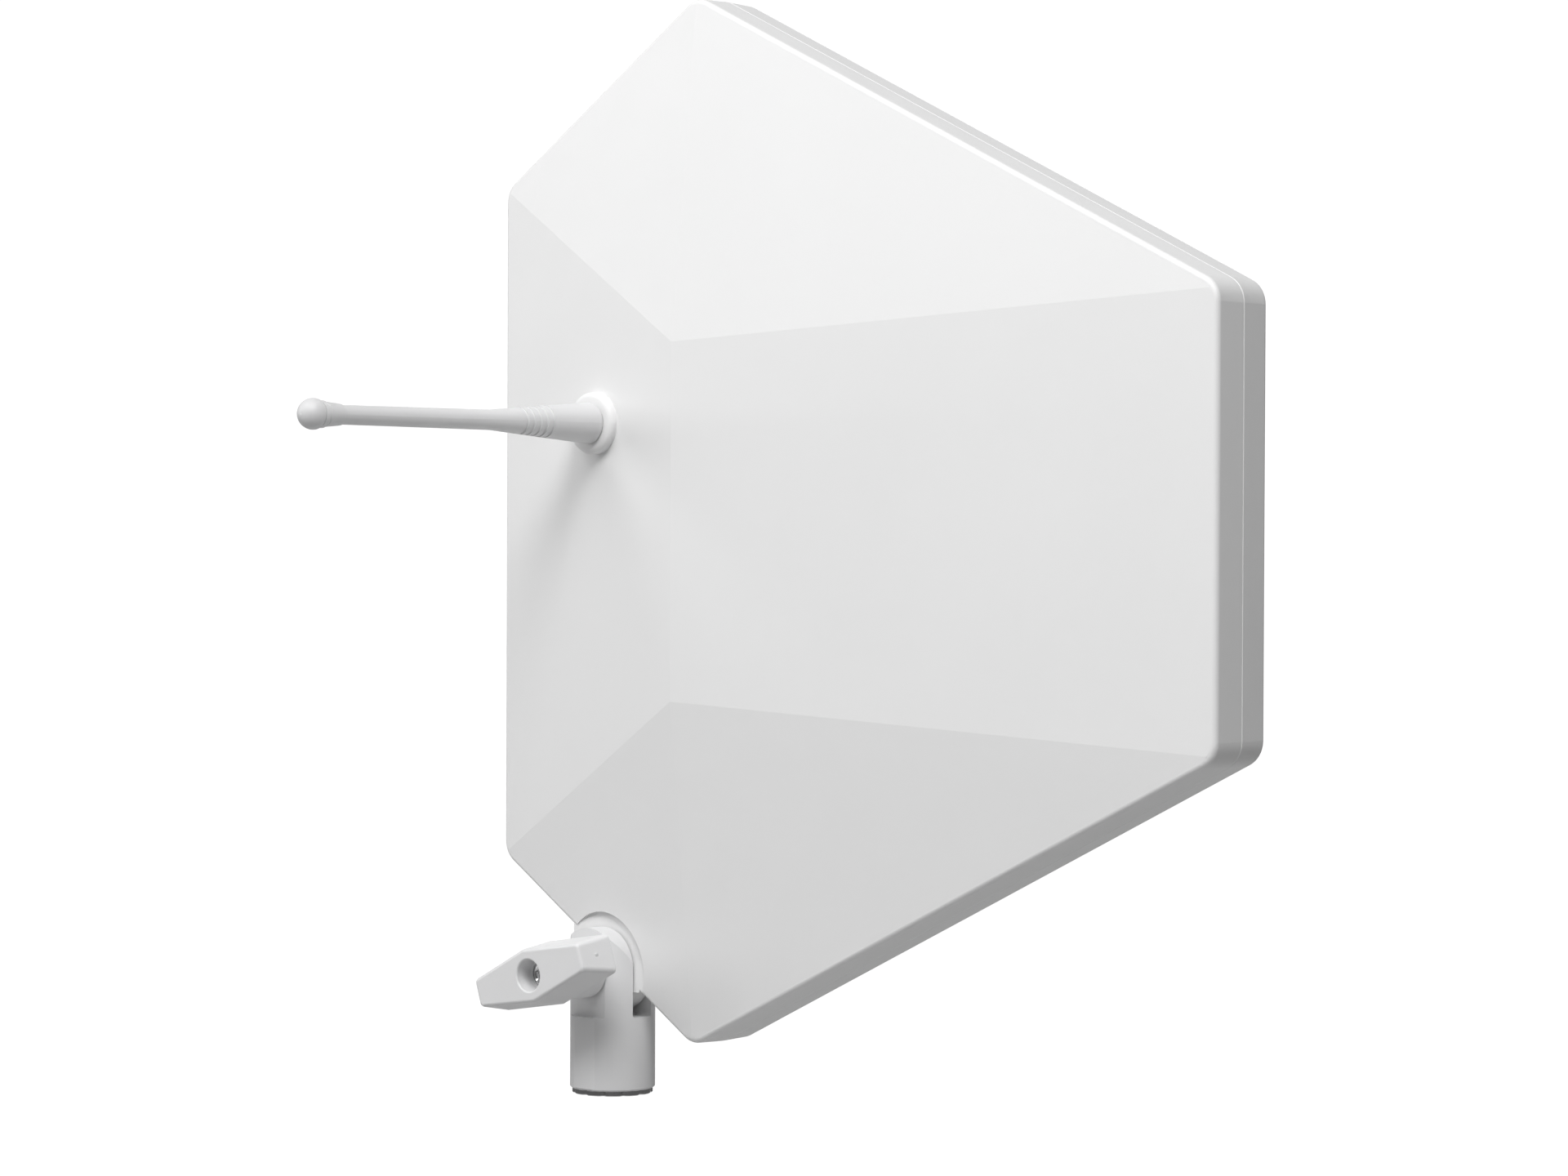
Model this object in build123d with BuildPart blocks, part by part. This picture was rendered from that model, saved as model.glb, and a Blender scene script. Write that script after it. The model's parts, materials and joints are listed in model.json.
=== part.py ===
from build123d import *
import os
from math import cos, radians, sin

# Paddle antenna on a tilting stand mount.
#
# Millimetres. +X is the direction the antenna points, +Z is up, and -Y is its right-hand side.
# The origin is the middle of the mouth of the stand thread, underneath the mount. The casing is a
# flat hexagon of two faceted shells. The right one has a tongue that hangs in the mount's clevis,
# where a bolt along Y is its pivot. The mount's axis lies to the right of the shells' parting
# plane. Places on the casing are given as (x, z) from its own centre: on the apex line, at middle
# height.

os.makedirs("parts", exist_ok=True)

# ---------------------------------------------------------------- casing
HEIGHT = 353.4              # over the two apexes
REAR_LENGTH = 90.6          # from the apex line back to the rear edge
FRONT_LENGTH = 215.1        # from the apex line forward to the nose edge
REAR_EDGE = 232.4
NOSE_EDGE = 144.2
RIM = 26.0                  # thickness at the rim
RIDGE = 120.0               # length of the upright ridge that the facets rise to
RIDGE_RISE = 11.4           # height of the ridge above the rim, on each side
CORNER_RADIUS = 9.0
RIM_FILLET = 1.8
EDGE_BORDER = 2.2           # the facets start this far in from the hexagon
DRAFT = 1.8                 # degrees, widest at the parting plane
PARTING_CHAMFER = 0.3
WALL = 2.2

# ---------------------------------------------------------------- mount
PIVOT_Z = 43.0
PIVOT_OUTSIDE = 2.65        # the pivot lies this far outside the casing's lower rear edge
PIVOT_ALONG = 6.95          # and this far from the edge's middle, towards the lowest corner
CASING_Y = 8.8              # the casing's parting plane lies this far to the mount's left
TONGUE = 3.8                # half thickness of the tongue
TONGUE_RADIUS = 15.1
TONGUE_TOE = 7.5            # depth of the tongue's flat toe under the pivot
POCKET_RADIUS = 19.2        # round pocket on each side of the tongue, for an ear of the clevis
BASE_RADIUS = 14.6
BASE_BOTTOM = 1.8
BASE_FLAT = 13.8            # from the axis to the flats on the lower part
EAR_FACE = 12.2             # from the mount's middle plane to the ears' outer faces
EAR_RADIUS = 14.0
PAD_BOTTOM = 16.4           # the ears' flat faces and the slot end this far under the pivot
SLOT = 4.55                 # half width of the slot between the ears
BASE_CHAMFER = 0.5
PAD_HALF = 9.0
PAD_CORNER = 2.5
SLOT_CORNER = 1.2
INSERT_FLANGE = 13.9
INSERT_SIDES = 12
INSERT_RADIUS = 10.2
INSERT_TOP = 20.0
THREAD_RADIUS = 7.63        # pitch radius of the 5/8 in stand thread, 27 to the inch
BOLT_RADIUS = 3.0
BOLT_HOLE = 3.3
BOLT_HEAD = 10.0            # across flats
BOLT_HEAD_HEIGHT = 4.0
BOLT_END = 33.0
RUNNING = 0.05              # radial clearance of a pin that turns in its hole
BUSH_RADIUS = 5.0
FRICTION_RADIUS = 9.0
FRICTION_THICKNESS = 0.6
GAP = 0.05                  # between flat faces that slide on each other

# ---------------------------------------------------------------- knob
KNOB_WASHER_RADIUS = 8.0
KNOB_WASHER_THICKNESS = 1.0
KNOB_NECK_RADIUS = 9.5
KNOB_BACK = 26.9            # from the mount's middle plane to the back of the wings
KNOB_FRONT = 41.0
KNOB_LENGTH = 51.2          # at the front face
KNOB_WIDTH = 18.0
KNOB_TIP = 9.3
KNOB_DRAFT = 2.0            # the back is larger by this much all round
KNOB_TURN = 18.0            # degrees, the front wing raised
KNOB_RECESS_RADIUS = 5.4
KNOB_RECESS_DEPTH = 7.0
KNOB_INSERT_RADIUS = 4.9
KNOB_CORNER = 1.8
KNOB_EDGE = 1.2

# ---------------------------------------------------------------- whips
WHIP_AT = (-39.0, 33.5)
WHIP_BOSS_RADIUS = 10.5
WHIP_BOSS_RISE = 4.0        # above the casing's face
WHIP_BOSS_FILLET = 1.8
WHIP_BASE = 7.0
WHIP_GROOVED = 5.4          # radius at the first groove
WHIP_NARROWED = 4.5         # radius at the last groove
WHIP_SEAT = 6.6             # shallow recess in the front of the boss
WHIP_SEAT_DEPTH = 0.75
WHIP_WASHER = 6.2
WHIP_WASHER_THICKNESS = 0.75
WHIP_LIFT = 0.1             # the whip's base stands this far off the boss
WHIP_ROD = 3.4
WHIP_ROD_TIP = 3.15         # where the cap starts
WHIP_CONE_END = 47.0        # lengths along the whip are from the front of its boss
WHIP_CAP_START = 113.6
WHIP_BALL_RADIUS = 5.05
WHIP_BALL_AT = 124.8
GROOVES = 5
FIRST_GROOVE = 22.0
GROOVE_STEP = 2.85
GROOVE_DEPTH = 0.5
STUD_THREAD = 2.5
STUD_LENGTH = 6.4
STUD_HEAD = 4.0
STUD_HEAD_LENGTH = 10.0
RADIATOR_RADIUS = 1.0
WHIP_SPIGOT = 2.6           # end of the rod that the cap fits over
SPIGOT_LENGTH = 6.0
CAP_REAR = 3.5
CAP_CONE = 6.5
CAP_FLARE = 4.1
CAP_NECK = 3.7
CAP_RING = 4.45
CAP_GROOVE = 0.9            # length of each groove beside the ring
BALL_BACK = 1.3             # the ball is cut off this far behind its centre
LEAD_RADIUS = 0.6
SOCKET_RADIUS = 5.0
SOCKET_INNER_END = 6.0

# ---------------------------------------------------------------- inside the casing
SCREW_INSET = 9.0
SCREW_BOSS = 4.0
SCREW_SHANK = 1.25
SCREW_HEAD = 2.75
SCREW_HEAD_HEIGHT = 2.0
SCREW_SLOT = 0.7
SCREW_SEAT = 7.0            # from the parting plane to the underside of a head
SCREW_REACH = 8.0
BOARD = 0.8                 # half thickness of both circuit boards
COPPER = 0.3
BOARD_INSET = 16.0
ELEMENTS = 7
FIRST_ELEMENT = 5.0         # x of the longest element
LONGEST_ELEMENT = 150.0     # from the boom to its tip
ELEMENT_RATIO = 0.86
ELEMENT_WIDTH = 9.0
BOOM_WIDTH = 6.0
BOOM_FEED_X = 196.0
BOARD_REAR = -12.0
POSTS = [(27, 60), (27, -60), (131, 40), (131, -40), (-22, -22), (-22, 52)]
POST_RADIUS = 3.0
PIVOT_BLOCK = 25.0          # the shells are solid this far from the pivot
FEED_BOARD_AT = (-34.0, 15.0)
FEED_BOARD_SIZE = (36.0, 90.0)
BALUN_AT = (-34.0, 2.0)
BALUN_OUTER = 5.0
BALUN_INNER = 2.5
BALUN_HEIGHT = 3.0
BALUN_TURNS = 8
BALUN_TURN = 2.35
BALUN_WIRE = 0.3
COAX_RADIUS = 1.3
COAX_SIDE = 2.8

# ---------------------------------------------------------------- rear connectors
RECESS_Z = -54.0
RECESS_HEIGHT = 60.0
RECESS_DEPTH = 12.0
RECESS_HALF = 10.3
PLATE = 2.0
PLATE_GROOVE = 1.0
JACK_SPACING = 28.0
JACK_RADIUS = 4.8
JACK_LENGTH = 11.0
JACK_BORE = 4.1
JACK_THREAD = 6.3
JACK_REAR = 9.0
JACK_FLANGE = 14.0
JACK_FLANGE_HEIGHT = 2.0
LUG_AT = 6.5
LUG_RADIUS = 1.0
LUG_HEIGHT = 1.1
INSULATOR_RADIUS = 2.4
INSULATOR_FRONT = 8.0
CONTACT_RADIUS = 0.8
CONTACT_TAIL = 3.0
LOCK_WASHER = 0.7
LOCK_WASHER_RADIUS = 8.0
NUT_FLATS = 15.0
NUT_HEIGHT = 2.4

# ---------------------------------------------------------------- derived places
HALF = HEIGHT / 2
CORNERS = [
    (0, HALF),
    (FRONT_LENGTH, NOSE_EDGE / 2),
    (FRONT_LENGTH, -NOSE_EDGE / 2),
    (0, -HALF),
    (-REAR_LENGTH, -REAR_EDGE / 2),
    (-REAR_LENGTH, REAR_EDGE / 2),
]
TOP, NOSE_TOP, NOSE_BOTTOM, BOTTOM, REAR_BOTTOM, REAR_TOP = range(6)
ridge_top = (0, RIDGE / 2)
ridge_bottom = (0, -RIDGE / 2)
# Each facet rises from one edge of the hexagon, between two corners, to an end of the ridge.
FACETS = [
    (NOSE_TOP, NOSE_BOTTOM, ridge_top),
    (REAR_TOP, REAR_BOTTOM, ridge_top),
    (TOP, NOSE_TOP, ridge_top),
    (TOP, REAR_TOP, ridge_top),
    (BOTTOM, NOSE_BOTTOM, ridge_bottom),
    (BOTTOM, REAR_BOTTOM, ridge_bottom),
]

# The pivot's place beside the lower rear edge fixes the casing's centre.
lower_edge = Vector(*CORNERS[BOTTOM]) - Vector(*CORNERS[REAR_BOTTOM])
edge_direction = lower_edge.normalized()
edge_inward = Vector(-edge_direction.Y, edge_direction.X)
edge_middle = edge_inward * PIVOT_OUTSIDE - edge_direction * PIVOT_ALONG
centre = edge_middle + lower_edge * 0.5 - Vector(*CORNERS[BOTTOM])
CASING_X = centre.X
CASING_Z = PIVOT_Z + centre.Y
PIVOT_AT = (-CASING_X, PIVOT_Z - CASING_Z)

# Parting plane of the casing: local x is X, local y is Z, and it extrudes to the right.
SIDE = Plane(origin=(CASING_X, CASING_Y, CASING_Z), x_dir=(1, 0, 0), z_dir=(0, -1, 0))
PARTING = Plane(origin=(0, CASING_Y, 0), z_dir=(0, -1, 0))
PIVOT = Plane(origin=(0, 0, PIVOT_Z), x_dir=(1, 0, 0), z_dir=(0, -1, 0))

rear_slope = RIDGE_RISE / REAR_LENGTH
WHIP_FACE = RIM / 2 + rear_slope * (REAR_LENGTH + WHIP_AT[0])
WHIP_FRONT = WHIP_FACE + WHIP_BOSS_RISE
WHIP_START = WHIP_FRONT + WHIP_LIFT
WHIP_CENTRE = (CASING_X + WHIP_AT[0], CASING_Y, CASING_Z + WHIP_AT[1])
WHIP = Plane(origin=WHIP_CENTRE, x_dir=(1, 0, 0), z_dir=(0, -1, 0))
# Lengthwise section of a whip: local x is the distance from the parting plane, local y the radius.
WHIP_SECTION = Plane(origin=WHIP_CENTRE, x_dir=(0, -1, 0), z_dir=(0, 0, 1))
WHIP_AXIS = Axis(WHIP_CENTRE, (0, -1, 0))
KNOB = Plane(
    origin=(0, 0, PIVOT_Z),
    x_dir=(cos(radians(KNOB_TURN)), 0, sin(radians(KNOB_TURN))),
    z_dir=(0, -1, 0),
)
PLATE_X = -REAR_LENGTH + RECESS_DEPTH
JACKS = [RECESS_Z + JACK_SPACING / 2, RECESS_Z - JACK_SPACING / 2]


def at(x, z, depth=0.0):
    """The point (x, z) of the casing, depth millimetres from the parting plane to the right."""
    return Vector(CASING_X + x, CASING_Y - depth, CASING_Z + z)


def facet_plane(facet, inset=0.0):
    """The plane of one right-hand facet, moved inwards by inset."""
    first, second, ridge_end = facet
    rim = at(*inward_of_corner(first, EDGE_BORDER), RIM / 2)
    along = at(*inward_of_corner(second, EDGE_BORDER), RIM / 2) - rim
    normal = along.cross(at(*ridge_end, RIM / 2 + RIDGE_RISE) - rim).normalized()
    if normal.Y > 0:
        normal = normal * -1
    return Plane(origin=rim - normal * inset, z_dir=normal)


def outline(inset=0.0):
    """Adds the casing's rounded hexagon, moved inwards by inset, to the current sketch."""
    with BuildLine() as hexagon:
        Polyline(*CORNERS, close=True)
    make_face(hexagon.edges())
    fillet(vertices(), CORNER_RADIUS)
    if inset:
        offset(amount=-inset, kind=Kind.INTERSECTION, mode=Mode.REPLACE)


def inward_of_corner(index, inset):
    """The point that lies inset from both edges of a corner."""
    here = Vector(*CORNERS[index])
    back = (Vector(*CORNERS[index - 1]) - here).normalized()
    ahead = (Vector(*CORNERS[(index + 1) % len(CORNERS)]) - here).normalized()
    half_angle = radians(back.get_angle(ahead) / 2)
    point = here + (back + ahead).normalized() * (inset / sin(half_angle))
    return (point.X, point.Y)


def inward_of_edge(index, inset):
    """The point that lies inset from the middle of the edge after a corner."""
    start = Vector(*CORNERS[index])
    end = Vector(*CORNERS[(index + 1) % len(CORNERS)])
    along = (end - start).normalized()
    point = (start + end) * 0.5 + Vector(along.Y, -along.X) * inset
    return (point.X, point.Y)


SCREWS = [inward_of_corner(index, SCREW_INSET) for index in range(len(CORNERS))]
SCREWS += [inward_of_edge(index, SCREW_INSET) for index in (0, 2)]
DEEP = 40.0                 # more than half the casing's greatest thickness


def finish(builder, name):
    """Labels a finished sub-part and writes it."""
    builder.part.label = name
    export_step(builder.part, f"parts/{name}.step")


# ================================================================ casing shells
# Low roof of six facets on the right half
with BuildPart() as roof:
    with BuildSketch(SIDE.offset(RIM / 4)):
        outline(EDGE_BORDER)
    extrude(amount=DEEP)
    for facet in FACETS:
        split(bisect_by=facet_plane(facet), keep=Keep.BOTTOM)

# Outer form of the right half: the drafted rim with its rounded edge, under the roof.
with BuildPart() as casing_half:
    with BuildSketch(SIDE.offset(PARTING_CHAMFER)):
        outline()
    extrude(amount=RIM / 2 - PARTING_CHAMFER, taper=DRAFT)
    fillet(casing_half.faces().sort_by(Axis.Y)[0].edges(), RIM_FILLET)
    with BuildSketch(SIDE.offset(PARTING_CHAMFER)):
        outline()
    extrude(amount=-PARTING_CHAMFER, taper=45)
    add(roof)

# Hollow of the right half, with everything that stays solid inside it taken away
with BuildPart() as cavity:
    with BuildSketch(SIDE):
        outline(WALL)
    extrude(amount=DEEP)
    for facet in FACETS:
        split(bisect_by=facet_plane(facet, WALL), keep=Keep.BOTTOM)
    with BuildSketch(SIDE):
        with Locations(PIVOT_AT):
            Circle(PIVOT_BLOCK)
        with Locations(*SCREWS):
            Circle(SCREW_BOSS)
        with Locations((-REAR_LENGTH, RECESS_Z)):
            Rectangle(2 * (RECESS_DEPTH + 3), RECESS_HEIGHT + 5)
    extrude(amount=DEEP, mode=Mode.SUBTRACT)
    with BuildSketch(SIDE.offset(BOARD)):
        with Locations(*POSTS):
            Circle(POST_RADIUS)
    extrude(amount=DEEP, mode=Mode.SUBTRACT)
    with BuildSketch(WHIP.offset(SOCKET_INNER_END)):
        Circle(SOCKET_RADIUS + 3)
    extrude(amount=DEEP, mode=Mode.SUBTRACT)

# What the two shells have in common, on the right-hand side
with BuildPart() as shell_form:
    add(casing_half)
    with BuildSketch(WHIP.offset(WHIP_FACE - 3)):
        Circle(WHIP_BOSS_RADIUS)
    extrude(amount=WHIP_BOSS_RISE + 3)
    fillet(shell_form.faces().sort_by(Axis.Y)[0].edges(), WHIP_BOSS_FILLET)
    add(cavity, mode=Mode.SUBTRACT)
    # Socket for the whip, with a shallow seat for its washer
    with BuildSketch(WHIP.offset(SOCKET_INNER_END)):
        Circle(SOCKET_RADIUS)
    extrude(amount=DEEP, mode=Mode.SUBTRACT)
    with BuildSketch(WHIP.offset(WHIP_FRONT - WHIP_SEAT_DEPTH)):
        Circle(WHIP_SEAT)
    extrude(amount=DEEP, mode=Mode.SUBTRACT)
    # Connector recess in the rear edge, the groove that holds its plate, and the way through
    with BuildSketch(SIDE):
        with Locations((-REAR_LENGTH, RECESS_Z)):
            Rectangle(2 * RECESS_DEPTH, RECESS_HEIGHT)
    extrude(amount=RECESS_HALF, mode=Mode.SUBTRACT)
    with BuildSketch(SIDE):
        with Locations((PLATE_X + PLATE / 2, RECESS_Z)):
            Rectangle(PLATE, RECESS_HEIGHT + 2 * PLATE_GROOVE)
    extrude(amount=RECESS_HALF + PLATE_GROOVE, mode=Mode.SUBTRACT)
    with BuildSketch(SIDE):
        with Locations((PLATE_X + PLATE, RECESS_Z)):
            Rectangle(4 * PLATE, RECESS_HEIGHT - 4)
    extrude(amount=RECESS_HALF - 1, mode=Mode.SUBTRACT)

toe_end = (PIVOT_OUTSIDE + TONGUE_TOE * edge_inward.Y) / edge_inward.X
with BuildPart() as right_shell:
    add(shell_form)
    # Tongue: round about the pivot, with a flat toe towards the front
    with BuildSketch(PIVOT):
        Circle(TONGUE_RADIUS)
        with BuildLine():
            Polyline(
                (-TONGUE_RADIUS, 0),
                (0, -TONGUE_TOE),
                (toe_end, -TONGUE_TOE),
                (TONGUE_RADIUS * 1.3, TONGUE_TOE),
                (-TONGUE_RADIUS, TONGUE_RADIUS * 1.4),
                close=True,
            )
        make_face()
    extrude(amount=TONGUE, both=True)
    # Round pockets for the ears: a shallow one in the right face, and one open to the left shell
    for side in (1, -1):
        with BuildSketch(PIVOT.offset(side * TONGUE)):
            Circle(POCKET_RADIUS)
        extrude(amount=side * DEEP, mode=Mode.SUBTRACT)
    with BuildSketch(PIVOT):
        Circle(BUSH_RADIUS)
    extrude(amount=TONGUE, both=True, mode=Mode.SUBTRACT)
    with BuildSketch(SIDE):
        with Locations(*SCREWS):
            Circle(SCREW_SHANK + RUNNING)
    extrude(amount=SCREW_REACH + 0.5, mode=Mode.SUBTRACT)
finish(right_shell, "right_shell")

with BuildPart() as left_shell:
    add(shell_form.part.mirror(PARTING))
    with BuildSketch(PIVOT):
        Circle(POCKET_RADIUS)
    extrude(amount=-DEEP, mode=Mode.SUBTRACT)
    with BuildSketch(SIDE):
        with Locations(*SCREWS):
            Circle(SCREW_SHANK + 0.4)
    extrude(amount=-DEEP, mode=Mode.SUBTRACT)
    with BuildSketch(SIDE.offset(-SCREW_SEAT)):
        with Locations(*SCREWS):
            Circle(SCREW_HEAD + 0.25)
    extrude(amount=-DEEP, mode=Mode.SUBTRACT)
finish(left_shell, "left_shell")

with BuildPart() as shell_screws:
    with BuildSketch(SIDE.offset(-SCREW_SEAT)):
        with Locations(*SCREWS):
            Circle(SCREW_HEAD)
    extrude(amount=-SCREW_HEAD_HEIGHT)
    with BuildSketch(SIDE.offset(-SCREW_SEAT)):
        with Locations(*SCREWS):
            Circle(SCREW_SHANK)
    extrude(amount=SCREW_SEAT + SCREW_REACH)
    with BuildSketch(SIDE.offset(-SCREW_SEAT - SCREW_HEAD_HEIGHT)):
        with Locations(*SCREWS):
            Rectangle(SCREW_HEAD * 1.2, SCREW_SLOT)
            Rectangle(SCREW_SLOT, SCREW_HEAD * 1.2)
    extrude(amount=SCREW_HEAD_HEIGHT / 2, mode=Mode.SUBTRACT)
finish(shell_screws, "shell_screws")

# ================================================================ antenna boards
with BuildPart() as log_periodic_board:
    with BuildSketch(SIDE):
        outline(BOARD_INSET)
        with Locations((BOARD_REAR - HEIGHT, 0)):
            Rectangle(2 * HEIGHT, 2 * HEIGHT, mode=Mode.SUBTRACT)
    extrude(amount=BOARD, both=True)
finish(log_periodic_board, "log_periodic_board")

VIRTUAL_APEX = FIRST_ELEMENT + LONGEST_ELEMENT / ((HALF - NOSE_EDGE / 2) / FRONT_LENGTH)


def element_copper(first_direction):
    """Adds one face's boom and elements to the sketch. Elements point up and down by turns."""
    reach = VIRTUAL_APEX - FIRST_ELEMENT
    for index in range(ELEMENTS):
        size = ELEMENT_RATIO**index
        direction = first_direction * (-1) ** index
        length = LONGEST_ELEMENT * size
        with Locations((VIRTUAL_APEX - reach * size, direction * length / 2)):
            Rectangle(ELEMENT_WIDTH * size, length)
    last = VIRTUAL_APEX - reach * ELEMENT_RATIO ** (ELEMENTS - 1)
    with Locations(((FIRST_ELEMENT + last) / 2, 0)):
        Rectangle(last - FIRST_ELEMENT + 2 * BOOM_WIDTH, BOOM_WIDTH)


with BuildPart() as right_copper:
    with BuildSketch(SIDE.offset(BOARD)):
        element_copper(1)
    extrude(amount=COPPER)
finish(right_copper, "right_copper")

with BuildPart() as left_copper:
    with BuildSketch(SIDE.offset(-BOARD)):
        element_copper(-1)
    extrude(amount=-COPPER)
finish(left_copper, "left_copper")

with BuildPart() as dipole_feed_board:
    with BuildSketch(SIDE):
        with Locations(FEED_BOARD_AT):
            RectangleRounded(*FEED_BOARD_SIZE, 2)
    extrude(amount=BOARD, both=True)
finish(dipole_feed_board, "dipole_feed_board")

# Ferrite ring on the feed board, with its winding clear of it
BALUN = Plane(origin=at(*BALUN_AT, BOARD + BALUN_TURN + BALUN_WIRE), z_dir=(0, -1, 0), x_dir=(1, 0, 0))
with BuildPart() as balun_core:
    with BuildSketch(BALUN):
        Circle(BALUN_OUTER)
        Circle(BALUN_INNER, mode=Mode.SUBTRACT)
    extrude(amount=BALUN_HEIGHT / 2, both=True)
finish(balun_core, "balun_core")

with BuildPart(BALUN) as balun_winding:
    with PolarLocations((BALUN_OUTER + BALUN_INNER) / 2, BALUN_TURNS):
        Torus(BALUN_TURN, BALUN_WIRE, rotation=(90, 0, 0))
finish(balun_winding, "balun_winding")

# ================================================================ whips, one on each side
def finish_pair(builder, name):
    """Writes a right-hand sub-part and its mirror image on the left."""
    finish(builder, f"right_{name}")
    with BuildPart() as mirrored:
        add(builder.part.mirror(PARTING))
    finish(mirrored, f"left_{name}")


SEAT = WHIP_FRONT - WHIP_SEAT_DEPTH
with BuildPart() as whip_socket:
    with BuildSketch(WHIP.offset(SOCKET_INNER_END)):
        Circle(SOCKET_RADIUS)
    extrude(amount=SEAT - SOCKET_INNER_END)
    with BuildSketch(WHIP.offset(SEAT - STUD_LENGTH - 2)):
        Circle(STUD_THREAD + RUNNING)
    extrude(amount=DEEP, mode=Mode.SUBTRACT)
finish_pair(whip_socket, "whip_socket")

with BuildPart() as whip_lead:
    with BuildSketch(WHIP.offset(BOARD)):
        Circle(LEAD_RADIUS)
    extrude(amount=SOCKET_INNER_END - BOARD)
finish_pair(whip_lead, "whip_lead")

with BuildPart() as whip_washer:
    with BuildSketch(WHIP.offset(WHIP_START - GAP - WHIP_WASHER_THICKNESS)):
        Circle(WHIP_WASHER)
        Circle(STUD_THREAD + 0.4, mode=Mode.SUBTRACT)
    extrude(amount=WHIP_WASHER_THICKNESS)
finish_pair(whip_washer, "whip_washer")

with BuildPart() as whip_stud:
    with BuildSketch(WHIP.offset(WHIP_START - STUD_LENGTH)):
        Circle(STUD_THREAD)
    extrude(amount=STUD_LENGTH)
    with BuildSketch(WHIP.offset(WHIP_START)):
        Circle(STUD_HEAD)
    extrude(amount=STUD_HEAD_LENGTH)
finish_pair(whip_stud, "whip_stud")

with BuildPart() as whip_radiator:
    with BuildSketch(WHIP.offset(WHIP_START + STUD_HEAD_LENGTH)):
        Circle(RADIATOR_RADIUS)
    extrude(amount=WHIP_CAP_START + 2 - WHIP_LIFT - STUD_HEAD_LENGTH)
finish_pair(whip_radiator, "whip_radiator")

# Grooved cone and long rod, moulded over the stud and the radiator
LAST_GROOVE = FIRST_GROOVE + (GROOVES - 1) * GROOVE_STEP
with BuildPart() as whip_sleeve:
    with BuildSketch(WHIP_SECTION):
        with BuildLine():
            Polyline(
                (WHIP_START, 0),
                (WHIP_START, WHIP_BASE - 0.4),
                (WHIP_START + 0.4, WHIP_BASE),
                (WHIP_FRONT + FIRST_GROOVE, WHIP_GROOVED),
                (WHIP_FRONT + LAST_GROOVE, WHIP_NARROWED),
                (WHIP_FRONT + WHIP_CONE_END, WHIP_ROD),
                (WHIP_FRONT + WHIP_CAP_START, WHIP_ROD_TIP),
                (WHIP_FRONT + WHIP_CAP_START, WHIP_SPIGOT),
                (WHIP_FRONT + WHIP_CAP_START + SPIGOT_LENGTH, WHIP_SPIGOT),
                (WHIP_FRONT + WHIP_CAP_START + SPIGOT_LENGTH, 0),
                close=True,
            )
        make_face()
        for index in range(GROOVES):
            share = index / (GROOVES - 1)
            radius = WHIP_GROOVED + (WHIP_NARROWED - WHIP_GROOVED) * share
            with Locations((WHIP_FRONT + FIRST_GROOVE + index * GROOVE_STEP, radius)):
                Circle(GROOVE_DEPTH, mode=Mode.SUBTRACT)
    revolve(axis=WHIP_AXIS)
    add(whip_stud, mode=Mode.SUBTRACT)
    add(whip_radiator, mode=Mode.SUBTRACT)
finish_pair(whip_sleeve, "whip_sleeve")

CAP = WHIP_FRONT + WHIP_CAP_START
BALL = WHIP_FRONT + WHIP_BALL_AT
CAP_GROOVES = [CAP + CAP_CONE, BALL - BALL_BACK - CAP_GROOVE]
with BuildPart() as whip_cap:
    with BuildSketch(WHIP_SECTION):
        with Locations((BALL, 0)):
            Circle(WHIP_BALL_RADIUS)
        with Locations((BALL - BALL_BACK - WHIP_BALL_RADIUS, 0)):
            Rectangle(2 * WHIP_BALL_RADIUS, 2 * WHIP_BALL_RADIUS, mode=Mode.SUBTRACT)
        with BuildLine() as outline:
            Polyline(
                (BALL, 0),
                (CAP, 0),
                (CAP, CAP_REAR),
                (CAP_GROOVES[0], CAP_FLARE),
                (CAP_GROOVES[0] + 0.2, CAP_NECK),
                (CAP_GROOVES[0] + CAP_GROOVE - 0.2, CAP_NECK),
                (CAP_GROOVES[0] + CAP_GROOVE, CAP_RING),
                (CAP_GROOVES[1], CAP_RING),
                (CAP_GROOVES[1] + 0.2, CAP_NECK),
                (BALL, CAP_NECK),
                close=True,
            )
        make_face(outline.edges())
        with Locations((BALL, -WHIP_BALL_RADIUS)):
            Rectangle(2 * WHIP_BALL_RADIUS + 1, 2 * WHIP_BALL_RADIUS, mode=Mode.SUBTRACT)
        with Locations((CAP + SPIGOT_LENGTH / 2, WHIP_SPIGOT / 2)):
            Rectangle(SPIGOT_LENGTH, WHIP_SPIGOT, mode=Mode.SUBTRACT)
    revolve(axis=WHIP_AXIS)
finish_pair(whip_cap, "whip_cap")

# ================================================================ rear connectors
# Looking out of the recess: local z points to the rear, and z = 0 is the plate's outer face.
PORTS = [Plane(origin=at(PLATE_X, z), x_dir=(0, 1, 0), z_dir=(-1, 0, 0)) for z in JACKS]
PANEL = Plane(origin=at(PLATE_X, RECESS_Z), x_dir=(0, 1, 0), z_dir=(-1, 0, 0))

with BuildPart() as connector_plate:
    with BuildSketch(PANEL):
        Rectangle(2 * (RECESS_HALF + PLATE_GROOVE) - 0.2, RECESS_HEIGHT + 2 * PLATE_GROOVE - 0.2)
        with GridLocations(0, JACK_SPACING, 1, 2):
            Circle(JACK_THREAD + 0.1, mode=Mode.SUBTRACT)
    extrude(amount=-PLATE)
finish(connector_plate, "connector_plate")

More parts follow.
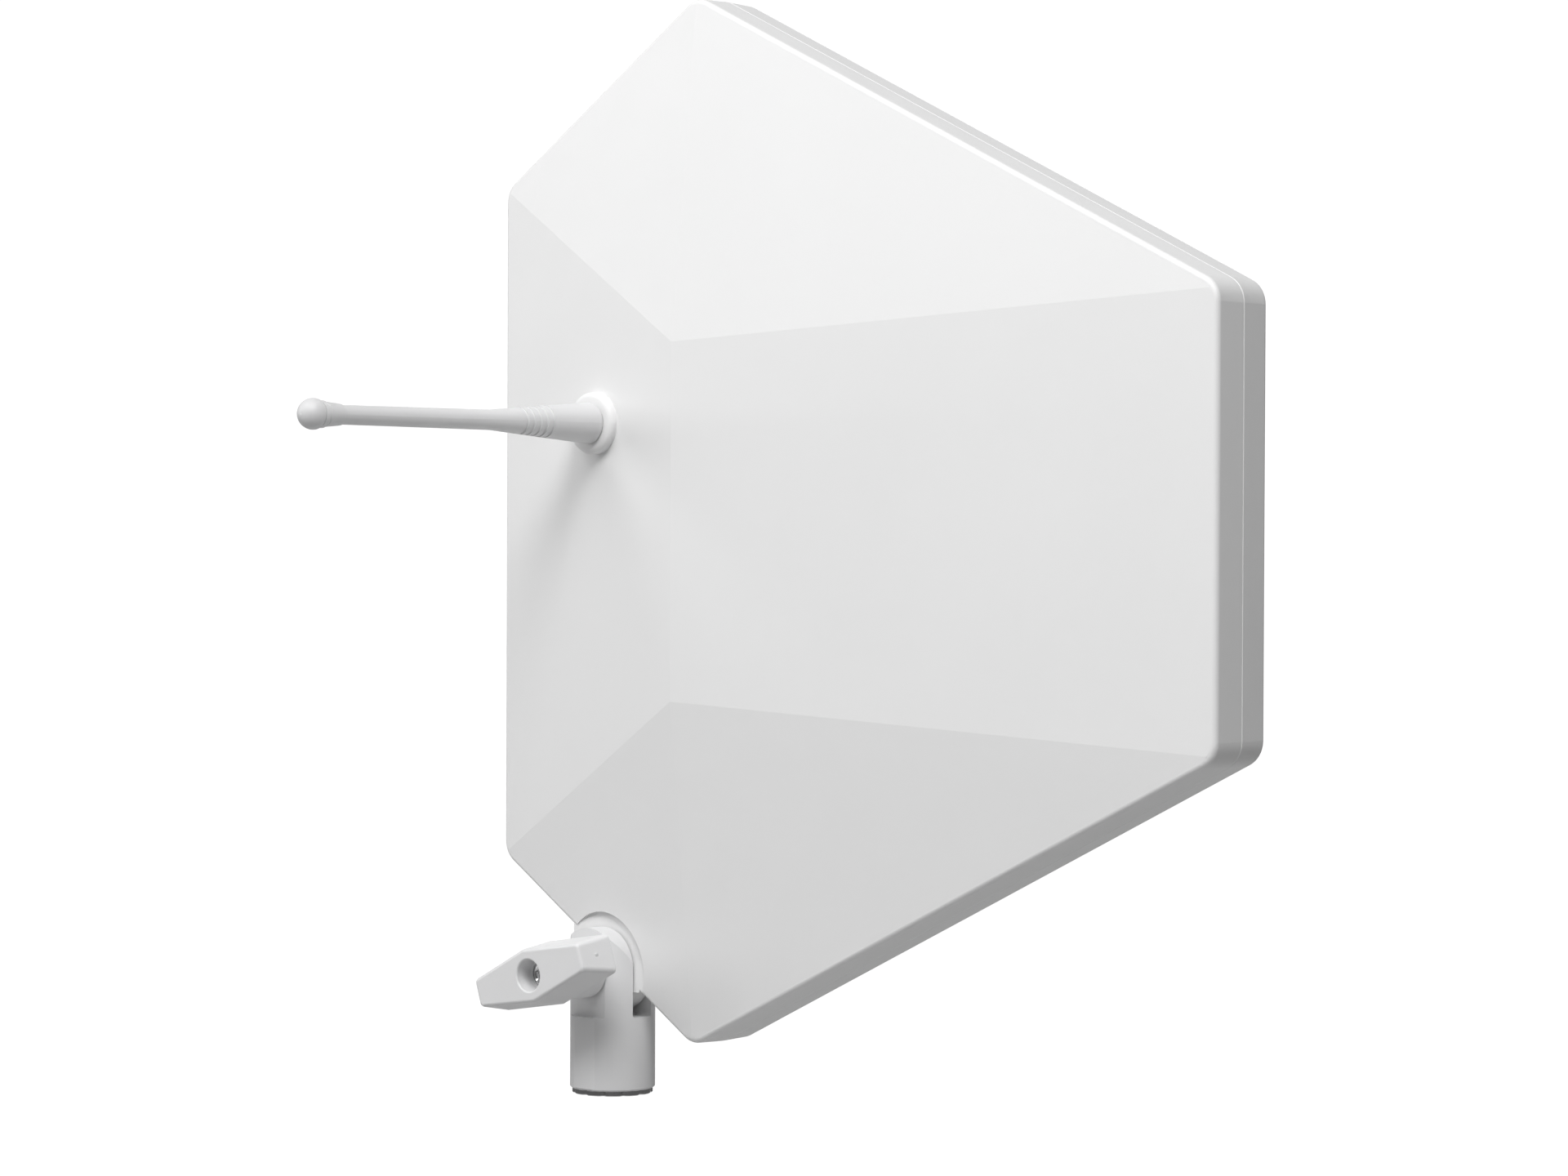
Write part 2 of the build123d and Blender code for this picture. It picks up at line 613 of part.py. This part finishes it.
for port, name in zip(PORTS, ("upper_bnc_jack", "lower_bnc_jack")):
    with BuildPart() as bnc_jack:
        with BuildSketch(port):
            RegularPolygon(JACK_FLANGE / 2, 6, major_radius=False)
        extrude(amount=JACK_FLANGE_HEIGHT)
        with BuildSketch(port):
            Circle(JACK_RADIUS)
        extrude(amount=JACK_LENGTH)
        with BuildSketch(port):
            Circle(JACK_THREAD)
        extrude(amount=-JACK_REAR)
        with BuildSketch(Plane(origin=port.origin + port.z_dir * LUG_AT, z_dir=(0, 0, 1))):
            Circle(LUG_RADIUS)
        extrude(amount=JACK_RADIUS + LUG_HEIGHT, both=True)
        with BuildSketch(port.offset(JACK_FLANGE_HEIGHT)):
            Circle(JACK_BORE)
        extrude(amount=JACK_LENGTH, mode=Mode.SUBTRACT)
        with BuildSketch(port.offset(JACK_FLANGE_HEIGHT)):
            Circle(INSULATOR_RADIUS)
        extrude(amount=-JACK_LENGTH - JACK_REAR, mode=Mode.SUBTRACT)
    finish(bnc_jack, name)

with BuildPart() as bnc_insulators:
    for port in PORTS:
        with BuildSketch(port.offset(-JACK_REAR)):
            Circle(INSULATOR_RADIUS)
            Circle(CONTACT_RADIUS, mode=Mode.SUBTRACT)
        extrude(amount=JACK_REAR + INSULATOR_FRONT)
finish(bnc_insulators, "bnc_insulators")

with BuildPart() as bnc_contacts:
    for port in PORTS:
        with BuildSketch(port.offset(-JACK_REAR - CONTACT_TAIL)):
            Circle(CONTACT_RADIUS)
        extrude(amount=JACK_REAR + CONTACT_TAIL + INSULATOR_FRONT)
        with BuildSketch(port.offset(INSULATOR_FRONT)):
            Circle(CONTACT_RADIUS / 2)
        extrude(amount=-4, mode=Mode.SUBTRACT)
finish(bnc_contacts, "bnc_contacts")

with BuildPart() as bnc_lock_washers:
    for port in PORTS:
        with BuildSketch(port.offset(-PLATE)):
            Circle(LOCK_WASHER_RADIUS)
            Circle(JACK_THREAD + 0.1, mode=Mode.SUBTRACT)
        extrude(amount=-LOCK_WASHER)
finish(bnc_lock_washers, "bnc_lock_washers")

with BuildPart() as bnc_nuts:
    for port in PORTS:
        with BuildSketch(port.offset(-PLATE - LOCK_WASHER)):
            RegularPolygon(NUT_FLATS / 2, 6, major_radius=False)
            Circle(JACK_THREAD, mode=Mode.SUBTRACT)
        extrude(amount=-NUT_HEIGHT)
finish(bnc_nuts, "bnc_nuts")

# Coaxial leads inside the casing, as (x, distance to the left, z) on the casing
TAIL_X = PLATE_X + JACK_REAR + CONTACT_TAIL
LEADS = {
    "log_periodic_coax": (
        [
            (TAIL_X, 0, JACKS[1]),
            (-44, 0, JACKS[1]),
            (-10, COAX_SIDE, -32),
            (14, COAX_SIDE, 0),
            (BOOM_FEED_X, COAX_SIDE, 0),
        ],
        [20, 60, 28],
    ),
    "dipole_coax": (
        [
            (TAIL_X, 0, JACKS[0]),
            (-56, 0, JACKS[0]),
            (-44, COAX_SIDE, -28),
            (-38, COAX_SIDE, -12),
        ],
        [8, 14],
    ),
}
for name, (route, radii) in LEADS.items():
    with BuildPart() as coax:
        with BuildLine() as path:
            FilletPolyline(*[at(x, z, -left) for x, left, z in route], radius=radii)
        centre_line = path.wires()[0]
        with BuildSketch(Plane(origin=centre_line @ 0, z_dir=centre_line % 0)):
            Circle(COAX_RADIUS)
        sweep(path=centre_line)
    print(name, "length", round(centre_line.length, 1))
    finish(coax, name)

# ================================================================ stand mount
with BuildPart() as swivel_base:
    with BuildSketch(Plane.XY.offset(BASE_BOTTOM + BASE_CHAMFER)) as section:
        Circle(BASE_RADIUS)
        Rectangle(2 * BASE_RADIUS, 2 * BASE_FLAT, mode=Mode.INTERSECT)
    extrude(amount=PIVOT_Z + EAR_RADIUS - BASE_BOTTOM)
    extrude(section.sketch, amount=-BASE_CHAMFER, taper=45)
    # Ears rounded about the pivot
    with BuildSketch(PIVOT):
        Circle(EAR_RADIUS)
        with Locations((0, -PIVOT_Z / 2)):
            Rectangle(3 * BASE_RADIUS, PIVOT_Z)
    extrude(amount=DEEP, both=True, mode=Mode.INTERSECT)
    # Flat pad on the outside of each ear, rounded at its lower corners
    for side in (1, -1):
        with BuildSketch(PIVOT.offset(side * EAR_FACE)):
            with Locations((0, EAR_RADIUS)):
                RectangleRounded(2 * PAD_HALF, 2 * (PAD_BOTTOM + EAR_RADIUS), PAD_CORNER)
        extrude(amount=side * DEEP, mode=Mode.SUBTRACT)
    # Slot for the tongue
    with BuildSketch(Plane.YZ):
        with Locations((0, PIVOT_Z + EAR_RADIUS)):
            RectangleRounded(2 * SLOT, 2 * (PAD_BOTTOM + EAR_RADIUS), SLOT_CORNER)
    extrude(amount=DEEP, both=True, mode=Mode.SUBTRACT)
    # Bolt hole, and the hexagon that holds the bolt's head in the left ear
    with BuildSketch(PIVOT):
        Circle(BOLT_HOLE)
    extrude(amount=DEEP, both=True, mode=Mode.SUBTRACT)
    with BuildSketch(PIVOT.offset(BOLT_HEAD_HEIGHT - EAR_FACE)):
        RegularPolygon(BOLT_HEAD / 2 + 0.1, 6, major_radius=False)
    extrude(amount=-DEEP, mode=Mode.SUBTRACT)
    # Seat of the thread insert, and room above it for the end of the stand
    with BuildSketch(Plane.XY):
        Circle(INSERT_RADIUS)
    extrude(amount=INSERT_TOP, mode=Mode.SUBTRACT)
    with BuildSketch(Plane.XY):
        Circle(THREAD_RADIUS + 0.4)
    extrude(amount=INSERT_TOP + 3, mode=Mode.SUBTRACT)
finish(swivel_base, "swivel_base")

with BuildPart() as stand_thread_insert:
    with BuildSketch():
        RegularPolygon(INSERT_FLANGE, INSERT_SIDES)
    extrude(amount=BASE_BOTTOM)
    with BuildSketch():
        Circle(INSERT_RADIUS)
    extrude(amount=INSERT_TOP)
    with BuildSketch():
        Circle(THREAD_RADIUS)
    extrude(amount=INSERT_TOP, mode=Mode.SUBTRACT)
finish(stand_thread_insert, "stand_thread_insert")

HEAD_FACE = BOLT_HEAD_HEIGHT - EAR_FACE
with BuildPart() as tilt_bolt:
    with BuildSketch(PIVOT.offset(HEAD_FACE)):
        RegularPolygon(BOLT_HEAD / 2, 6, major_radius=False)
    extrude(amount=-BOLT_HEAD_HEIGHT)
    chamfer(tilt_bolt.faces().sort_by(Axis.Y)[-1].edges(), 0.4)
    with BuildSketch(PIVOT.offset(HEAD_FACE)):
        Circle(BOLT_RADIUS)
    extrude(amount=BOLT_END - HEAD_FACE)
    chamfer(tilt_bolt.faces().sort_by(Axis.Y)[0].edges(), 0.6)
finish(tilt_bolt, "tilt_bolt")

with BuildPart() as pivot_bush:
    with BuildSketch(PIVOT):
        Circle(BUSH_RADIUS)
        Circle(BOLT_RADIUS + RUNNING, mode=Mode.SUBTRACT)
    extrude(amount=TONGUE, both=True)
finish(pivot_bush, "pivot_bush")

with BuildPart() as friction_washers:
    for side in (1, -1):
        with BuildSketch(PIVOT.offset(side * TONGUE)):
            Circle(FRICTION_RADIUS)
            Circle(BOLT_HOLE, mode=Mode.SUBTRACT)
        extrude(amount=side * FRICTION_THICKNESS)
finish(friction_washers, "friction_washers")

# ================================================================ clamp knob
with BuildPart() as knob_washer:
    with BuildSketch(PIVOT.offset(EAR_FACE + GAP)):
        Circle(KNOB_WASHER_RADIUS)
        Circle(BOLT_HOLE, mode=Mode.SUBTRACT)
    extrude(amount=KNOB_WASHER_THICKNESS)
finish(knob_washer, "knob_washer")


def wings(growth=0.0):
    """Adds the knob's long hexagon to the current sketch, larger all round by growth."""
    end = KNOB_LENGTH / 2 + growth
    tip = KNOB_TIP / 2 + growth
    middle = KNOB_WIDTH / 2 + growth
    with BuildLine() as edge:
        Polyline((-end, tip), (0, middle), (end, tip), (end, -tip), (0, -middle), (-end, -tip), close=True)
    make_face(edge.edges())


NECK_START = EAR_FACE + 2 * GAP + KNOB_WASHER_THICKNESS
with BuildPart() as clamp_knob:
    with BuildSketch(KNOB.offset(KNOB_BACK)):
        wings(KNOB_DRAFT)
    with BuildSketch(KNOB.offset(KNOB_FRONT)):
        wings()
    loft(ruled=True)
    corner_edges = [edge for edge in clamp_knob.edges() if abs(edge.tangent_at(0).Y) > 0.9]
    fillet(corner_edges, KNOB_CORNER)
    fillet(clamp_knob.faces().sort_by(Axis.Y)[0].edges(), KNOB_EDGE)
    fillet(clamp_knob.faces().sort_by(Axis.Y)[-1].edges(), KNOB_EDGE / 2)
    with BuildSketch(PIVOT.offset(NECK_START)):
        Circle(KNOB_NECK_RADIUS)
    extrude(amount=KNOB_BACK + 1 - NECK_START)
    with BuildSketch(PIVOT.offset(KNOB_FRONT - KNOB_RECESS_DEPTH)):
        Circle(KNOB_RECESS_RADIUS)
    extrude(amount=DEEP, mode=Mode.SUBTRACT)
    with BuildSketch(PIVOT):
        Circle(KNOB_INSERT_RADIUS)
    extrude(amount=KNOB_FRONT, mode=Mode.SUBTRACT)
    rim = clamp_knob.edges().filter_by(GeomType.CIRCLE).sort_by(Axis.Y)[0]
    fillet(rim, KNOB_EDGE / 2)
finish(clamp_knob, "clamp_knob")

with BuildPart() as knob_insert:
    with BuildSketch(PIVOT.offset(NECK_START + 1)):
        Circle(KNOB_INSERT_RADIUS)
        Circle(BOLT_RADIUS + RUNNING, mode=Mode.SUBTRACT)
    extrude(amount=KNOB_FRONT - KNOB_RECESS_DEPTH - NECK_START - 1)
finish(knob_insert, "knob_insert")
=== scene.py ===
import json
from math import cos, pi, radians, sin

import bmesh
import bpy
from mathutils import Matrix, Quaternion, Vector


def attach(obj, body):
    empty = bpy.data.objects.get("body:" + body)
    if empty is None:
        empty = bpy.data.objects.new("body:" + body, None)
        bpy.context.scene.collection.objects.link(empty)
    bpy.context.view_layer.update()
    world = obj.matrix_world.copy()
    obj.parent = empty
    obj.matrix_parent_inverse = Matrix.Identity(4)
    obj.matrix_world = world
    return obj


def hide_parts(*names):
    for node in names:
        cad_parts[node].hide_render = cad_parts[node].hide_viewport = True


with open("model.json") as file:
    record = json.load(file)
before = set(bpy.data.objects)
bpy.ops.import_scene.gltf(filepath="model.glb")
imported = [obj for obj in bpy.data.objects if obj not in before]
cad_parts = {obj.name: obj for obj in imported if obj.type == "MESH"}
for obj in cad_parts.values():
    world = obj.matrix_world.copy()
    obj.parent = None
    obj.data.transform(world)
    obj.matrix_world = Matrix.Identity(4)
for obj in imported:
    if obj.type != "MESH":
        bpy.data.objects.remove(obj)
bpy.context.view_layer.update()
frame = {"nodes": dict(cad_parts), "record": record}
nodes = frame["nodes"]

# ---------------------------------------------------------------- node-tree helpers


class Shader:
    """A material's node tree, with short ways to add and join nodes."""

    def __init__(self, name):
        self.material = bpy.data.materials.new(name)
        self.material.use_nodes = True
        self.tree = self.material.node_tree
        self.surface = self.tree.nodes["Principled BSDF"]
        self.place = self.add("ShaderNodeTexCoord").outputs["Object"]

    def add(self, kind, **settings):
        node = self.tree.nodes.new(kind)
        for key, value in settings.items():
            setattr(node, key, value)
        return node

    def join(self, output, node, socket):
        self.tree.links.new(output, node.inputs[socket])

    def constants(self, **values):
        """Sets constant values on the surface shader's own sockets."""
        for key, value in values.items():
            self.surface.inputs[key.replace("_", " ")].default_value = value

    def noise(self, scale, detail=2.0, roughness=0.5, stretch=None):
        """A noise factor in the part's own metres; stretch scales it along each axis."""
        place = self.place
        if stretch:
            mapping = self.add("ShaderNodeMapping")
            mapping.inputs["Scale"].default_value = stretch
            self.join(place, mapping, "Vector")
            place = mapping.outputs["Vector"]
        texture = self.add("ShaderNodeTexNoise")
        texture.inputs["Scale"].default_value = scale
        texture.inputs["Detail"].default_value = detail
        texture.inputs["Roughness"].default_value = roughness
        self.join(place, texture, "Vector")
        return texture.outputs["Fac"]

    def spread(self, factor, low, high):
        """Maps the middle of a noise factor to the range from low to high."""
        node = self.add("ShaderNodeMapRange")
        for socket, value in (("From Min", 0.3), ("From Max", 0.7), ("To Min", low), ("To Max", high)):
            node.inputs[socket].default_value = value
        self.join(factor, node, "Value")
        return node.outputs["Result"]

    def tint(self, factor, dark, light):
        """Base colour between two tones."""
        mix = self.add("ShaderNodeMix", data_type="RGBA")
        mix.inputs["A"].default_value = (*dark, 1)
        mix.inputs["B"].default_value = (*light, 1)
        self.join(factor, mix, "Factor")
        self.join(mix.outputs["Result"], self.surface, "Base Color")

    def relief(self, *layers):
        """Bump from several layers of (factor, depth in metres)."""
        normal = None
        for factor, depth in layers:
            bump = self.add("ShaderNodeBump")
            bump.inputs["Distance"].default_value = depth
            self.join(factor, bump, "Height")
            if normal is not None:
                self.join(normal, bump, "Normal")
            normal = bump.outputs["Normal"]
        self.join(normal, self.surface, "Normal")


def moulded(name, dark, light, roughness, grain=1400.0, depth=0.000012):
    """Moulded plastic: slight tone changes, an even matt grain and uneven sheen."""
    shader = Shader(name)
    shader.tint(shader.noise(14.0, 3.0), dark, light)
    sheen = shader.spread(shader.noise(60.0, 4.0, 0.6), roughness - 0.04, roughness + 0.05)
    shader.join(sheen, shader.surface, "Roughness")
    shader.relief((shader.noise(9.0, 2.0), 0.0001), (shader.noise(grain, 2.0, 0.6), depth))
    shader.constants(IOR=1.5)
    return shader.material


def metal(name, dark, light, roughness, stretch=(1, 1, 1), depth=0.000004):
    """Metal with fine working marks drawn out along one axis."""
    shader = Shader(name)
    marks = shader.noise(900.0, 4.0, 0.6, stretch)
    shader.tint(shader.noise(120.0, 3.0), dark, light)
    shader.join(shader.spread(marks, roughness - 0.05, roughness + 0.08), shader.surface, "Roughness")
    shader.relief((marks, depth))
    shader.constants(Metallic=1.0)
    return shader.material


MATERIALS = {
    "casing_white": moulded("casing_white", (0.78, 0.78, 0.78), (0.81, 0.81, 0.81), 0.5),
    "mount_plastic": moulded("mount_plastic", (0.72, 0.72, 0.725), (0.76, 0.76, 0.765), 0.42, 1100.0),
    "whip_plastic": moulded("whip_plastic", (0.64, 0.64, 0.645), (0.68, 0.68, 0.685), 0.45, 1600.0),
    "screw_steel": metal("screw_steel", (0.42, 0.43, 0.44), (0.56, 0.56, 0.57), 0.32),
    "bright_plating": metal("bright_plating", (0.62, 0.62, 0.63), (0.74, 0.74, 0.74), 0.16),
    "brass": metal("brass", (0.62, 0.44, 0.17), (0.74, 0.55, 0.24), 0.3),
    "copper": metal("copper", (0.62, 0.27, 0.14), (0.75, 0.36, 0.20), 0.35),
    "green_board": moulded("green_board", (0.010, 0.060, 0.020), (0.014, 0.080, 0.028), 0.35),
    "ferrite": moulded("ferrite", (0.012, 0.012, 0.013), (0.02, 0.02, 0.021), 0.5),
    "coax_jacket": moulded("coax_jacket", (0.008, 0.008, 0.008), (0.012, 0.012, 0.012), 0.4),
    "white_insulator": moulded("white_insulator", (0.72, 0.72, 0.70), (0.78, 0.78, 0.76), 0.4),
    "plate_aluminium": metal("plate_aluminium", (0.50, 0.51, 0.52), (0.60, 0.60, 0.61), 0.35, (1, 14, 1)),
    "grey_fibre": moulded("grey_fibre", (0.08, 0.08, 0.08), (0.11, 0.11, 0.11), 0.7),
}
for entry in frame["record"]["subparts"]:
    node = nodes[entry["node"]]
    node.data.materials.clear()
    node.data.materials.append(MATERIALS[entry["material_slot"]])

# ---------------------------------------------------------------- turned and threaded metal pieces
MM = 0.001
SAMPLES_PER_PITCH = 8


def turned(name, origin, axis, profile, around, shape, closed):
    """A lathe-turned piece in millimetres: profile is (along, radius), shape alters each radius."""
    axis = Vector(axis)
    across = Vector((1, 0, 0)) if abs(axis.z) > 0.5 else Vector((0, 0, 1))
    third = axis.cross(across)
    mesh = bmesh.new()
    rings = []
    for along, radius in profile:
        ring = []
        for step in range(around):
            angle = 2 * pi * step / around
            reach = shape(along, radius, angle)
            point = Vector(origin) + axis * along + (across * cos(angle) + third * sin(angle)) * reach
            ring.append(mesh.verts.new(point * MM))
        rings.append(ring)
    pairs = list(zip(rings, rings[1:]))
    if closed:
        pairs.append((rings[-1], rings[0]))
    else:
        mesh.faces.new(rings[0])
        mesh.faces.new(rings[-1])
    for ring, following in pairs:
        for step in range(around):
            after = (step + 1) % around
            mesh.faces.new((ring[step], ring[after], following[after], following[step]))
    bmesh.ops.recalc_face_normals(mesh, faces=mesh.faces)
    data = bpy.data.meshes.new(name)
    mesh.to_mesh(data)
    mesh.free()
    data.shade_smooth()
    data.set_sharp_from_angle(angle=radians(35))
    piece = bpy.data.objects.new(name, data)
    bpy.context.scene.collection.objects.link(piece)
    return piece


def fit_out(piece, body, slot, *replaced):
    """Fixes a finished piece to a body, with a material slot, in place of CAD nodes."""
    piece.data.materials.append(MATERIALS[slot])
    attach(piece, body)
    if replaced:
        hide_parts(*replaced)


def samples(start, end, pitch):
    """Places along a thread, close enough together to draw it."""
    count = round((end - start) / pitch * SAMPLES_PER_PITCH)
    return [start + (end - start) * step / count for step in range(count + 1)]


def ridge(along, angle, pitch):
    """Height of a right-hand thread's flank, from 0 at its root to 1 at its crest."""
    turn = (along / pitch - angle / (2 * pi)) % 1
    return 1 - abs(2 * turn - 1)


def polygon(angle, sides):
    """How much further than a flat's middle a regular polygon reaches at an angle."""
    step = 2 * pi / sides
    return 1 / cos((angle + step / 2) % step - step / 2)


# Bolt of the clevis: hexagon head, plain shank and M6 thread, along -Y from the mount's middle plane
PIVOT = (0, 0, 43.0)
HEAD_TOP, HEAD_FACE, HEAD_FLATS = -12.2, -8.2, 5.0
THREAD_START, BOLT_END, BOLT_RADIUS, BOLT_PITCH, BOLT_DEPTH = 9.0, 33.0, 3.0, 1.0, 0.5


def bolt_shape(along, radius, angle):
    if along < HEAD_FACE - 0.01 and radius > HEAD_FLATS - 0.05:
        return min(radius * polygon(angle, 6), HEAD_FLATS + 0.5 + (along - HEAD_TOP) * 0.8)
    if along >= THREAD_START:
        groove = BOLT_DEPTH * min(1, (along - THREAD_START) / BOLT_PITCH)
        return min(radius, BOLT_RADIUS - groove * (1 - ridge(along, angle, BOLT_PITCH)))
    return radius


bolt_profile = [(HEAD_TOP, 4.4), (HEAD_TOP + 0.02, HEAD_FLATS), (HEAD_TOP + 0.3, HEAD_FLATS)]
bolt_profile += [(HEAD_FACE - 0.02, HEAD_FLATS), (HEAD_FACE, BOLT_RADIUS), (THREAD_START - 0.1, BOLT_RADIUS)]
bolt_profile += [(along, BOLT_RADIUS) for along in samples(THREAD_START, BOLT_END - 0.5, BOLT_PITCH)]
bolt_profile += [(BOLT_END, 2.3)]
bolt = turned("clevis_bolt", PIVOT, (0, -1, 0), bolt_profile, 72, bolt_shape, closed=False)
fit_out(bolt, "swivel_base", "screw_steel", "tilt_bolt")

# Threaded insert of the knob: its grooved face is the floor of the knob's round recess
INSERT_START, INSERT_FACE, INSERT_OUTER, FIT = 14.3, 34.0, 4.9, 0.05


def knob_insert_shape(along, radius, angle):
    if radius > BOLT_RADIUS + 0.2:
        return radius
    return radius - BOLT_DEPTH * (1 - ridge(along, angle, BOLT_PITCH))


knob_profile = [
    (along, BOLT_RADIUS + FIT) for along in samples(INSERT_START, INSERT_FACE - 0.6, BOLT_PITCH)
]
knob_profile += [(INSERT_FACE - 0.5, 3.3), (INSERT_FACE, 3.8), (INSERT_FACE, 4.1), (INSERT_FACE - 0.25, 4.2)]
knob_profile += [(INSERT_FACE - 0.25, 4.45), (INSERT_FACE, 4.55), (INSERT_FACE, INSERT_OUTER - 0.1)]
knob_profile += [(INSERT_FACE - 0.1, INSERT_OUTER), (INSERT_START, INSERT_OUTER)]
knob_thread = turned("knob_thread", PIVOT, (0, -1, 0), knob_profile, 72, knob_insert_shape, closed=True)
fit_out(knob_thread, "clamp_knob", "bright_plating", "knob_insert")

# Stand thread insert: notched flange under the mount, and the 5/8 in thread, 27 to the inch
STAND_RADIUS, STAND_PITCH, STAND_DEPTH = 7.63, 25.4 / 27, 0.5
FLANGE, FLANGE_TOP, BARREL, BARREL_TOP, NOTCHES = 13.85, 1.8, 10.2, 20.0, 12


def stand_insert_shape(along, radius, angle):
    if radius < STAND_RADIUS + 0.1:
        return radius + STAND_DEPTH * (0.5 - ridge(along, angle, STAND_PITCH))
    if radius > BARREL + 1:
        return radius - 1.1 * max(0, cos(NOTCHES * angle)) ** 3
    return radius


stand_profile = [(0, STAND_RADIUS + 0.5)]
stand_profile += [(along, STAND_RADIUS) for along in samples(0.5, BARREL_TOP - 0.2, STAND_PITCH)]
stand_profile += [(BARREL_TOP, STAND_RADIUS + 0.3), (BARREL_TOP, BARREL), (FLANGE_TOP, BARREL)]
stand_profile += [(FLANGE_TOP, FLANGE - 0.2), (FLANGE_TOP - 0.2, FLANGE), (0.3, FLANGE), (0, FLANGE - 0.35)]
stand_insert = turned(
    "stand_insert", (0, 0, 0), (0, 0, 1), stand_profile, 144, stand_insert_shape, closed=True
)
fit_out(stand_insert, "swivel_base", "bright_plating", "stand_thread_insert")

# Moulding gate mark in the middle of the knob's front end
KNOB_TURN, GATE_REACH, GATE_OUT = radians(18), 26.05, 33.95


def plain_shape(along, radius, angle):
    return radius


gate_axis = Vector((cos(KNOB_TURN), 0, sin(KNOB_TURN)))
gate_place = Vector(PIVOT) + Vector((0, -GATE_OUT, 0)) + gate_axis * GATE_REACH
gate_profile = [(0, 0.75), (0.7, 0.7), (0.8, 0.45)]
gate = turned("knob_gate_mark", gate_place, gate_axis, gate_profile, 24, plain_shape, closed=False)
fit_out(gate, "clamp_knob", "mount_plastic")

# ---------------------------------------------------------------- camera
TARGET = Vector((0.07011, 0.0088, 0.17361))
AZIMUTH, ELEVATION, ROLL, DISTANCE = radians(41.706), radians(0.702), radians(0.228), 1.36
back = Vector((sin(AZIMUTH) * cos(ELEVATION), -cos(AZIMUTH) * cos(ELEVATION), sin(ELEVATION)))
camera = bpy.data.objects.new("camera", bpy.data.cameras.new("camera"))
bpy.context.scene.collection.objects.link(camera)
camera.data.lens = 93.75
camera.data.sensor_width = 36.0
camera.data.clip_start = 0.05
camera.location = TARGET + back * DISTANCE
camera.rotation_mode = "QUATERNION"
camera.rotation_quaternion = Quaternion(back, ROLL) @ (-back).to_track_quat("-Z", "Y")
bpy.context.scene.camera = camera

# ---------------------------------------------------------------- floor and light
bpy.context.scene.view_settings.view_transform = "Standard"

FLOOR_HALF, FLOOR_HEIGHT = 1.5, -0.6
floor_corners = [(FLOOR_HALF * x, FLOOR_HALF * y, 0) for x, y in ((-1, -1), (1, -1), (1, 1), (-1, 1))]
floor_data = bpy.data.meshes.new("floor")
floor_data.from_pydata(floor_corners, [], [(0, 1, 2, 3)])
floor = bpy.data.objects.new("floor", floor_data)
floor.location = (0, 0, FLOOR_HEIGHT)
bpy.context.scene.collection.objects.link(floor)
floor_data.materials.append(moulded("floor_paint", (0.70, 0.70, 0.70), (0.73, 0.73, 0.73), 0.8, 300.0))

# Grey surroundings, with a lit white backdrop behind the object
AMBIENT, BACKDROP = 0.12, 1.06
world = bpy.data.worlds.new("studio")
bpy.context.scene.world = world
world.use_nodes = True
sky = world.node_tree
direction = sky.nodes.new("ShaderNodeTexCoord")
towards = sky.nodes.new("ShaderNodeVectorMath")
towards.operation = "DOT_PRODUCT"
towards.inputs[1].default_value = -back
sky.links.new(direction.outputs["Generated"], towards.inputs[0])
glow = sky.nodes.new("ShaderNodeMapRange")
glow.interpolation_type = "SMOOTHSTEP"
for socket, value in (("From Min", 0.86), ("From Max", 0.965), ("To Min", AMBIENT), ("To Max", BACKDROP)):
    glow.inputs[socket].default_value = value
sky.links.new(towards.outputs["Value"], glow.inputs["Value"])
sky.links.new(glow.outputs["Result"], sky.nodes["Background"].inputs["Strength"])
sky.nodes["Background"].inputs["Color"].default_value = (1, 1, 1, 1)


def softbox(name, place, size, power):
    """A square area light that faces the object."""
    data = bpy.data.lights.new(name, "AREA")
    data.shape = "SQUARE"
    data.size = size
    data.energy = power
    lamp = bpy.data.objects.new(name, data)
    bpy.context.scene.collection.objects.link(lamp)
    lamp.location = place
    lamp.rotation_mode = "QUATERNION"
    lamp.rotation_quaternion = (TARGET - Vector(place)).to_track_quat("-Z", "Y")


softbox("key", (-0.2, -1.2, 1.4), 1.0, 10.5)
softbox("fill_right", (0.8, -0.9, 1.5), 0.8, 25)
softbox("fill_left", (-1.5, -1.0, 0.7), 1.0, 9)
